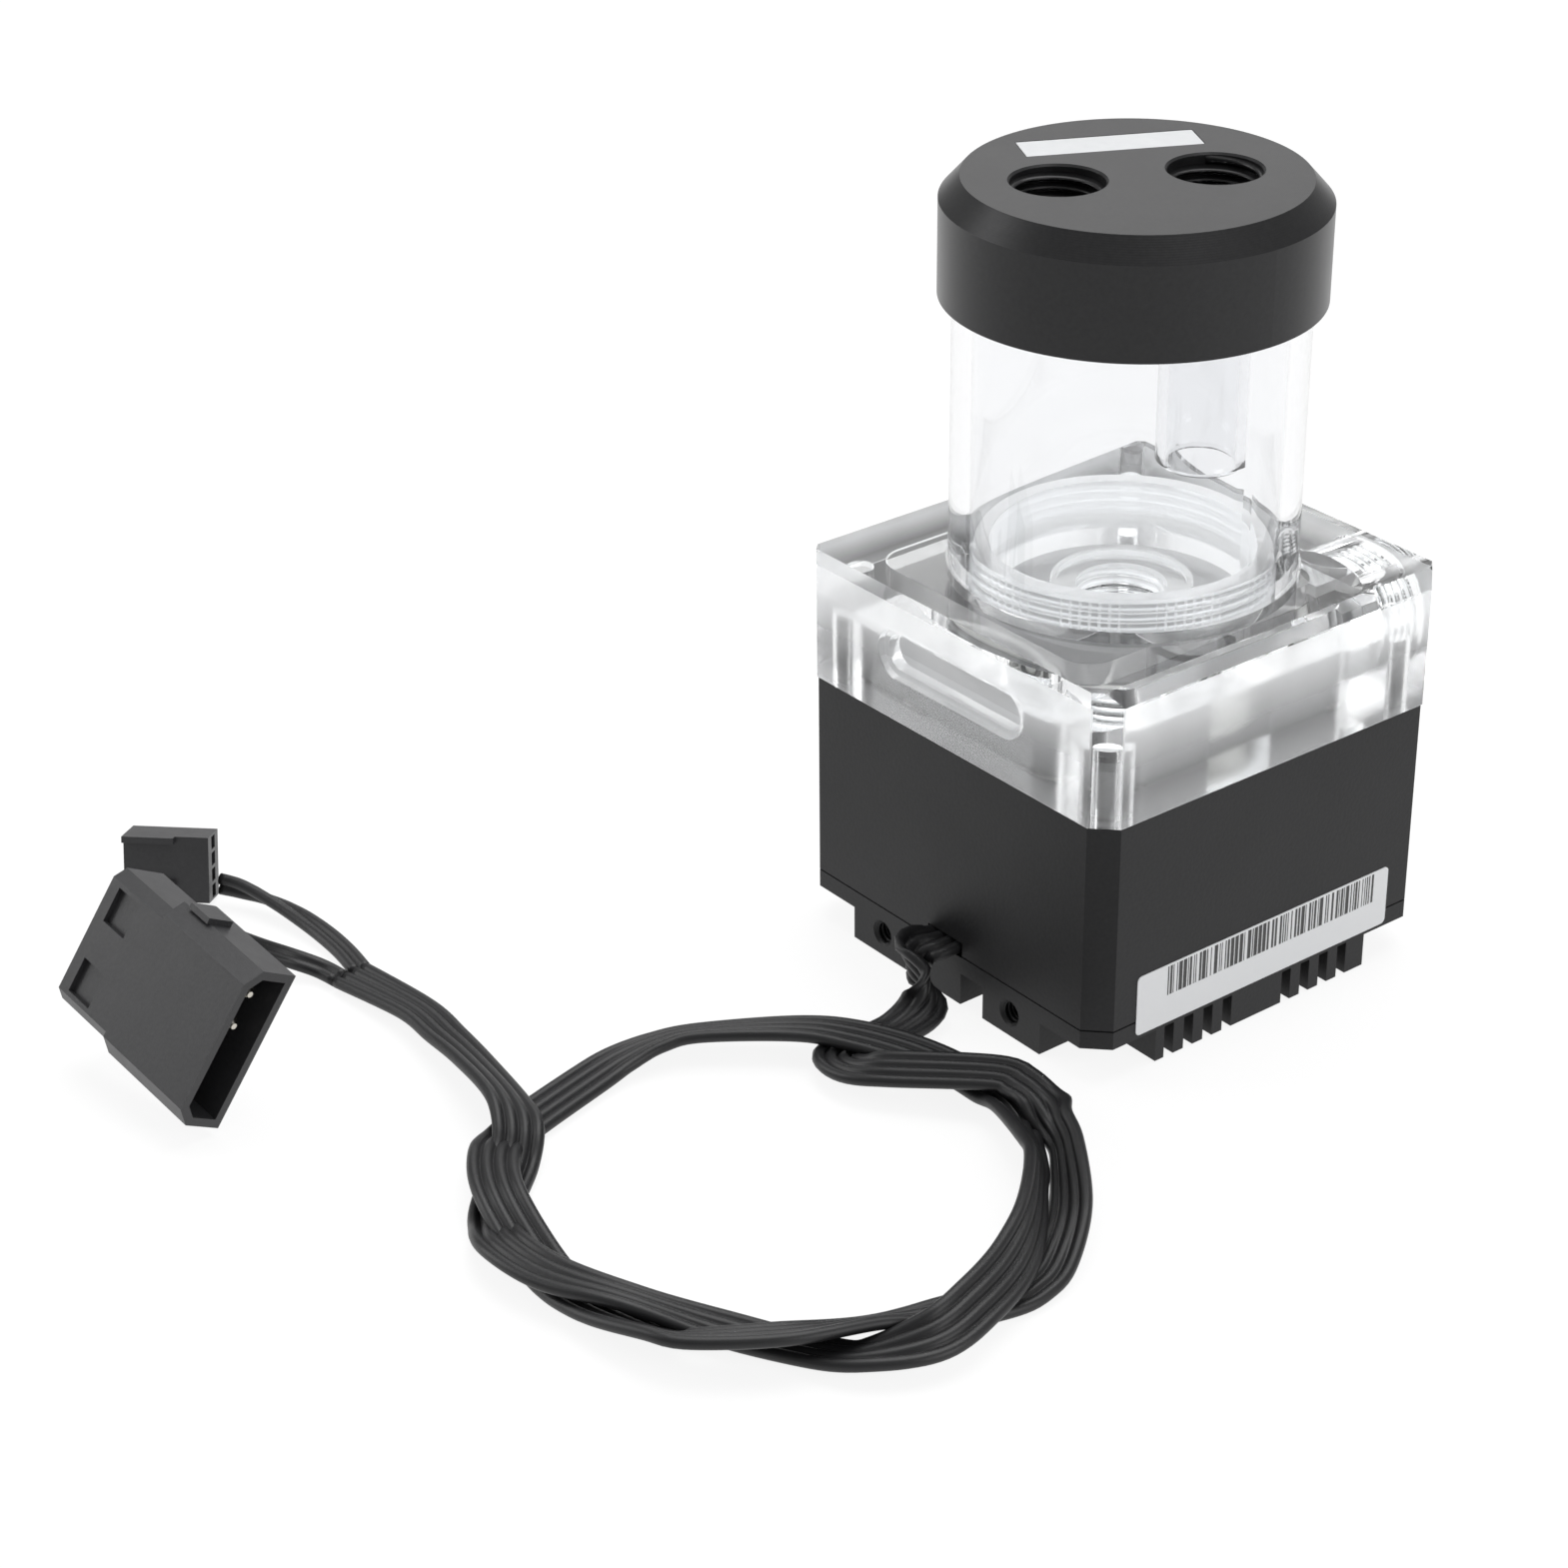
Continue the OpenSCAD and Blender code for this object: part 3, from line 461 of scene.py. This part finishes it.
# %% Clear pieces, with their heights and reaches in metres
POCKET_FLOOR, POCKET_TOP, POCKET_REACH = 0.0410, 0.0494, 0.0323
WELL_FLOOR, WELL_TOP, WELL_RADIUS = 0.0543, 0.0650, 0.02155
FACE_REACH, BEVEL_FOOT = 0.03245, 0.0588
RECESS_BACK, RECESS_HALF, RECESS_HEIGHT, RECESS_RISE = -0.0290, 0.0155, 0.0509, 0.0040
CLEAREST_HEIGHT = 0.0452
GLOW_START = 0.0405
TUBE_TOP, TUBE_FOOT = 0.1100, 0.0589
acrylic = Finish("clear_acrylic", Base_Color=(0.965, 0.975, 0.980), IOR=1.49)
acrylic.surface.inputs["Transmission Weight"].default_value = 1.0
height = acrylic.axis("Z")
across = acrylic.axis("X").size().math("MAXIMUM", acrylic.axis("Y").size())
away_x, away_y = acrylic.axis("X"), acrylic.axis("Y")
reach = (away_x * away_x + away_y * away_y).math("SQRT")
pocket = (height > POCKET_FLOOR) * (height < POCKET_TOP) * (across < POCKET_REACH)
well = (height > WELL_FLOOR) * (height < WELL_TOP) * (reach < WELL_RADIUS)
sides = (across > FACE_REACH) * (height < BEVEL_FOOT)
recess = ((away_y < RECESS_BACK) * (across < FACE_REACH) * (away_x.size() < RECESS_HALF)
          * ((height - RECESS_HEIGHT).size() < RECESS_RISE))
satin_band = ((height - CLEAREST_HEIGHT).size() * 105.0).clip()
stretched = acrylic.node("Mapping", Vector=acrylic.place(), Scale=(1, 1, 0.35))
satin_cloud = acrylic.noise(55.0, 2.0, vector=stretched)
marks = acrylic.noise(420.0, 3.0)
acrylic.put(acrylic.surface, "Roughness", (
    pocket * (marks * 0.02 + 0.14) + well * 0.10 + sides * (marks * 0.05 + 0.17)
    + 0.006 + marks * 0.01).clip())
# The frosted layer is partly real cutter marks and partly painted light: its emission is a painted glow for
# light scattered inside the block.
frost_and_glow = acrylic.tree.nodes.new("ShaderNodeBsdfPrincipled")
frost_and_glow.inputs["Transmission Weight"].default_value = 0.15
frost_and_glow.inputs["IOR"].default_value = 1.49
frost_and_glow.inputs["Emission Strength"].default_value = 0.50
acrylic.put(frost_and_glow, "Base Color", acrylic.blend(marks, (0.88, 0.89, 0.90), (0.93, 0.94, 0.95)))
acrylic.put(frost_and_glow, "Roughness", marks * 0.2 + 0.5)
# The painted glow is dimmest at GLOW_START and below, and brightens upwards to full strength about 14 mm
# higher.
rising = ((height - GLOW_START) * 70.0).clip()
acrylic.put(frost_and_glow, "Emission Color", acrylic.blend(rising, (0.30, 0.30, 0.31), (0.95, 0.96, 0.97)))
# Wherever the frosted layer is mixed in, its painted glow comes with it.
share = acrylic.tree.nodes.new("ShaderNodeMixShader")
acrylic.put(share, 0, (
    pocket * 0.08 + well * 0.36 + recess * 0.40
    + sides * (satin_band * (satin_cloud * 0.35 + 0.20) + 0.08)).clip())
acrylic.tree.links.new(acrylic.surface.outputs[0], share.inputs[1])
acrylic.tree.links.new(frost_and_glow.outputs[0], share.inputs[2])
acrylic.tree.links.new(share.outputs[0], acrylic.out.inputs["Surface"])
put_on(acrylic, "pump_top")

clear_tube = Finish("clear_tube", Base_Color=(0.938, 0.942, 0.950), IOR=1.49)
clear_tube.surface.inputs["Transmission Weight"].default_value = 1.0
level = clear_tube.axis("Z")
sawn = (level > TUBE_TOP) + (level < TUBE_FOOT)
clear_tube.put(clear_tube.surface, "Roughness", sawn * 0.25 + clear_tube.noise(120.0, 2.0) * 0.012 + 0.004)
put_on(clear_tube, "reservoir_tube", "return_tube")

# %% [markdown]
# ## Rubber, mouldings and the inside of the motor
# None of these shows much, but each has the finish that it has on the bench: a copper
# winding under clear enamel, stacked sheets of electrical steel, a green board, white
# ceramic for the bearing and carbon for the bush that runs on it.

# %% Simple finishes, each with a little variation of its own
SIMPLE = (
    # name, dark, light, roughness, its spread, metallic, grain, bump, nodes
    ("pad_grey", (0.25, 0.30, 0.38), (0.31, 0.36, 0.46), 0.70, 0.12, 0.0, 900.0, 0.10, ("thermal_pad",)),
    ("core_steel", (0.24, 0.24, 0.25), (0.34, 0.34, 0.35), 0.34, 0.14, 0.9, 1500.0, 0.06, ("stator_core",)),
    ("copper_coil", (0.40, 0.14, 0.05), (0.56, 0.23, 0.09), 0.26, 0.14, 0.6, 1200.0, 0.20,
     ("stator_coils",)),
    ("moulded_black", (0.018, 0.018, 0.020), (0.032, 0.032, 0.034), 0.46, 0.14, 0.0, 1400.0, 0.10,
     ("isolation_can", "pump_casing")),
    ("seal_black", (0.016, 0.016, 0.016), (0.030, 0.030, 0.030), 0.50, 0.15, 0.0, 700.0, 0.08,
     ("cap_seal",)),
    ("seal_clear", (0.58, 0.58, 0.56), (0.68, 0.68, 0.66), 0.38, 0.12, 0.0, 700.0, 0.06,
     ("can_seal", "tube_seal")),
    ("ceramic_white", (0.72, 0.72, 0.69), (0.80, 0.80, 0.77), 0.22, 0.08, 0.0, 600.0, 0.03,
     ("bearing_shaft", "thrust_washer")),
    ("impeller_white", (0.68, 0.68, 0.65), (0.76, 0.76, 0.73), 0.44, 0.12, 0.0, 800.0, 0.06, ("impeller",)),
    ("magnet_grey", (0.040, 0.040, 0.041), (0.065, 0.065, 0.066), 0.55, 0.14, 0.2, 1300.0, 0.12,
     ("rotor_magnet",)),
    ("bush_graphite", (0.070, 0.070, 0.071), (0.11, 0.11, 0.11), 0.40, 0.12, 0.1, 1100.0, 0.06,
     ("rotor_bush",)),
    ("plug_black", (0.022, 0.022, 0.024), (0.036, 0.036, 0.038), 0.40, 0.12, 0.0, 1500.0, 0.08,
     ("power_plug_shell", "fan_connector_shell")),
    ("pin_tin", (0.56, 0.53, 0.47), (0.66, 0.63, 0.57), 0.20, 0.12, 1.0, 900.0, 0.04, ("power_plug_pins",)),
    ("contact_gold", (0.54, 0.42, 0.18), (0.66, 0.54, 0.26), 0.22, 0.10, 1.0, 900.0, 0.03,
     ("fan_connector_contacts",)),
)
for name, dark, light, rough, spread, metal, fine, lift, nodes in SIMPLE:
    plain = Finish(name, Metallic=metal)
    speck = plain.noise(fine, 3.0)
    plain.put(plain.surface, "Base Color", plain.blend(speck, dark, light))
    plain.put(plain.surface, "Roughness", plain.noise(fine * 0.2, 3.0) * spread + (rough - spread / 2))
    plain.put(plain.surface, "Normal", plain.bump(speck, lift, 0.0002))
    put_on(plain, *nodes)

# %% [markdown]
# The driver board is green solder mask over glass cloth, with bright copper islands that
# show as a lighter green, and the parts on it are dark.

# %% Board and label
board = Finish("board_green")
weave = board.node("TexBrick", out=1, Vector=board.place(), Scale=400.0)
tracks = board.noise(260.0, 1.0) > 0.55
tall = board.axis("Z") > 0.01115
ground_green = board.blend(tracks, (0.010, 0.075, 0.030), (0.022, 0.130, 0.055))
board.put(board.surface, "Base Color", board.blend(tall, ground_green, (0.030, 0.030, 0.032)))
board.put(board.surface, "Roughness", weave * 0.06 + 0.30)
put_on(board, "circuit_board")

paper = Finish("white_label", IOR=1.4)
paper.put(paper.surface, "Base Color", paper.blend(
    paper.noise(900.0, 3.0), (0.93, 0.94, 0.96), (0.96, 0.97, 0.98)))
paper.put(paper.surface, "Roughness", paper.noise(300.0, 2.0) * 0.1 + 0.45)
put_on(paper, "rating_label")

# %% [markdown]
# ## Screw threads
# A tapped port is a bore with a ridge that climbs round its wall. The ports take a fitting
# with 19 turns to the inch, a pitch of 1.337 mm, and the ridge has flanks at 55 degrees with
# a narrow flat. The ridge is swept as one strip, and both its ends fade into the wall.

# %% Threads: ridge profile as reach and share of the pitch; sizes in millimetres
RIDGE = ((0, -0.46), (0.82, -0.12), (1, -0.04), (1, 0.04), (0.82, 0.12), (0, 0.46))
PORT = 6.575, 5.75, 1.337
FIXING = 1.648, 1.42, 0.7
RING = 21.505, 21.9, 1.5


def thread(name, at, out_of, wall, crest, pitch, low, high, finish, body, slot_name, per_turn=56):
    """Ridge from the wall's radius to the crest's radius, climbing from low to high along out_of."""
    upward = Vector(out_of)
    sideways = upward.orthogonal().normalized()
    third = upward.cross(sideways)
    turns = (high - low) / pitch
    steps = round(turns * per_turn)
    shape = bmesh.new()
    rows = []
    for i in range(steps + 1):
        angle = 2 * math.pi * i / per_turn
        rise = low + pitch * i / per_turn
        fade = min(1.0, i / (per_turn * 0.4), (steps - i) / (per_turn * 0.4))
        row = []
        for reach, share_of_pitch in RIDGE:
            r = wall + (crest - wall) * reach * max(fade, 0.02)
            here = sideways * math.cos(angle) * r + third * math.sin(angle) * r
            row.append(shape.verts.new((Vector(at) + here + upward * (rise + share_of_pitch * pitch)) * mm))
        rows.append(row)
    for one, two in zip(rows, rows[1:]):
        for k in range(5):
            shape.faces.new((one[k], one[k + 1], two[k + 1], two[k]))
        shape.faces.new((one[5], one[0], two[0], two[5]))
    shape.faces.new(rows[0])
    shape.faces.new(rows[-1][::-1])
    made = mesh_object(name, shape, finish)
    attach(made, body)
    print(name, "has", round(turns, 1), "turns")


def mount(name):
    return next(m for m in frame["record"]["mounts"] if m["name"] == name)


for port, low, high, finish, body, slot_name in (
        ("cap_port_fill", 109.2, 117.0, turned.material, "cap", "cap_black"),
        ("cap_port_return", 112.6, 117.0, turned.material, "cap", "cap_black")):
    x, y = (c / mm for c in mount(port)["pos_m"][:2])
    thread(port + "_thread", (x, y, 0), (0, 0, 1), *PORT, low, high, finish, body, slot_name)
x, z = mount("outlet_port")["pos_m"][0] / mm, mount("outlet_port")["pos_m"][2] / mm
thread("outlet_port_thread", (x, 0, z), (0, 1, 0), *PORT, 25.3, 31.2, acrylic.material, "pump",
       "clear_acrylic")
fixing_height = mount("front_fixing_holes")["pos_m"][2] / mm
for side, fixing_x in (("left", -14.3), ("right", 14.3)):
    thread("fixing_thread_" + side, (fixing_x, 0, fixing_height), (0, -1, 0), *FIXING, 27.0, 32.0,
           anodised.material, "pump", "anodised_black", per_turn=32)
thread("collar_thread", (0, 0, 0), (0, 0, 1), *PORT, 50.4, 56.4, acrylic.material, "pump",
       "clear_acrylic")
thread("block_ring_thread", (0, 0, 0), (0, 0, 1), *RING, 59.4, 64.2, acrylic.material, "pump",
       "clear_acrylic", per_turn=96)

# %% [markdown]
# ## Print on the label
# The label is matt paper with upright bars of two inks' width along its upper half. The bars
# here are of random widths, so they stand for print and say nothing. They are a very thin
# layer of their own, because ink lies on the paper and has sharp edges.

# %% Bars
random.seed(7)
label_low, label_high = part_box("rating_label")
face = label_high[0] + 0.00001
shape = bmesh.new()
y = -0.0192
bars = 0
while y < 0.0222:
    wide = random.choice((0.00016, 0.00022, 0.00022, 0.00040, 0.00066))
    made = bmesh.ops.create_cube(shape, size=1.0)["verts"]
    bmesh.ops.scale(shape, verts=made, vec=(0.00002, wide, 0.0047))
    bmesh.ops.translate(shape, verts=made, vec=(face, y + wide / 2, label_high[2] - 0.00265))
    y += wide + random.choice((0.00018, 0.00024, 0.00024, 0.00036, 0.00055))
    bars += 1
ink = Finish("label_ink")
ink.put(ink.surface, "Base Color", ink.blend(
    ink.noise(1500.0, 2.0), (0.035, 0.035, 0.036), (0.07, 0.07, 0.07)))
ink.put(ink.surface, "Roughness", ink.noise(700.0, 2.0) * 0.1 + 0.5)
label_print = mesh_object("label_bars", shape, ink.material, smooth=False)
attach(label_print, "pump")
print(bars, "bars on the label")
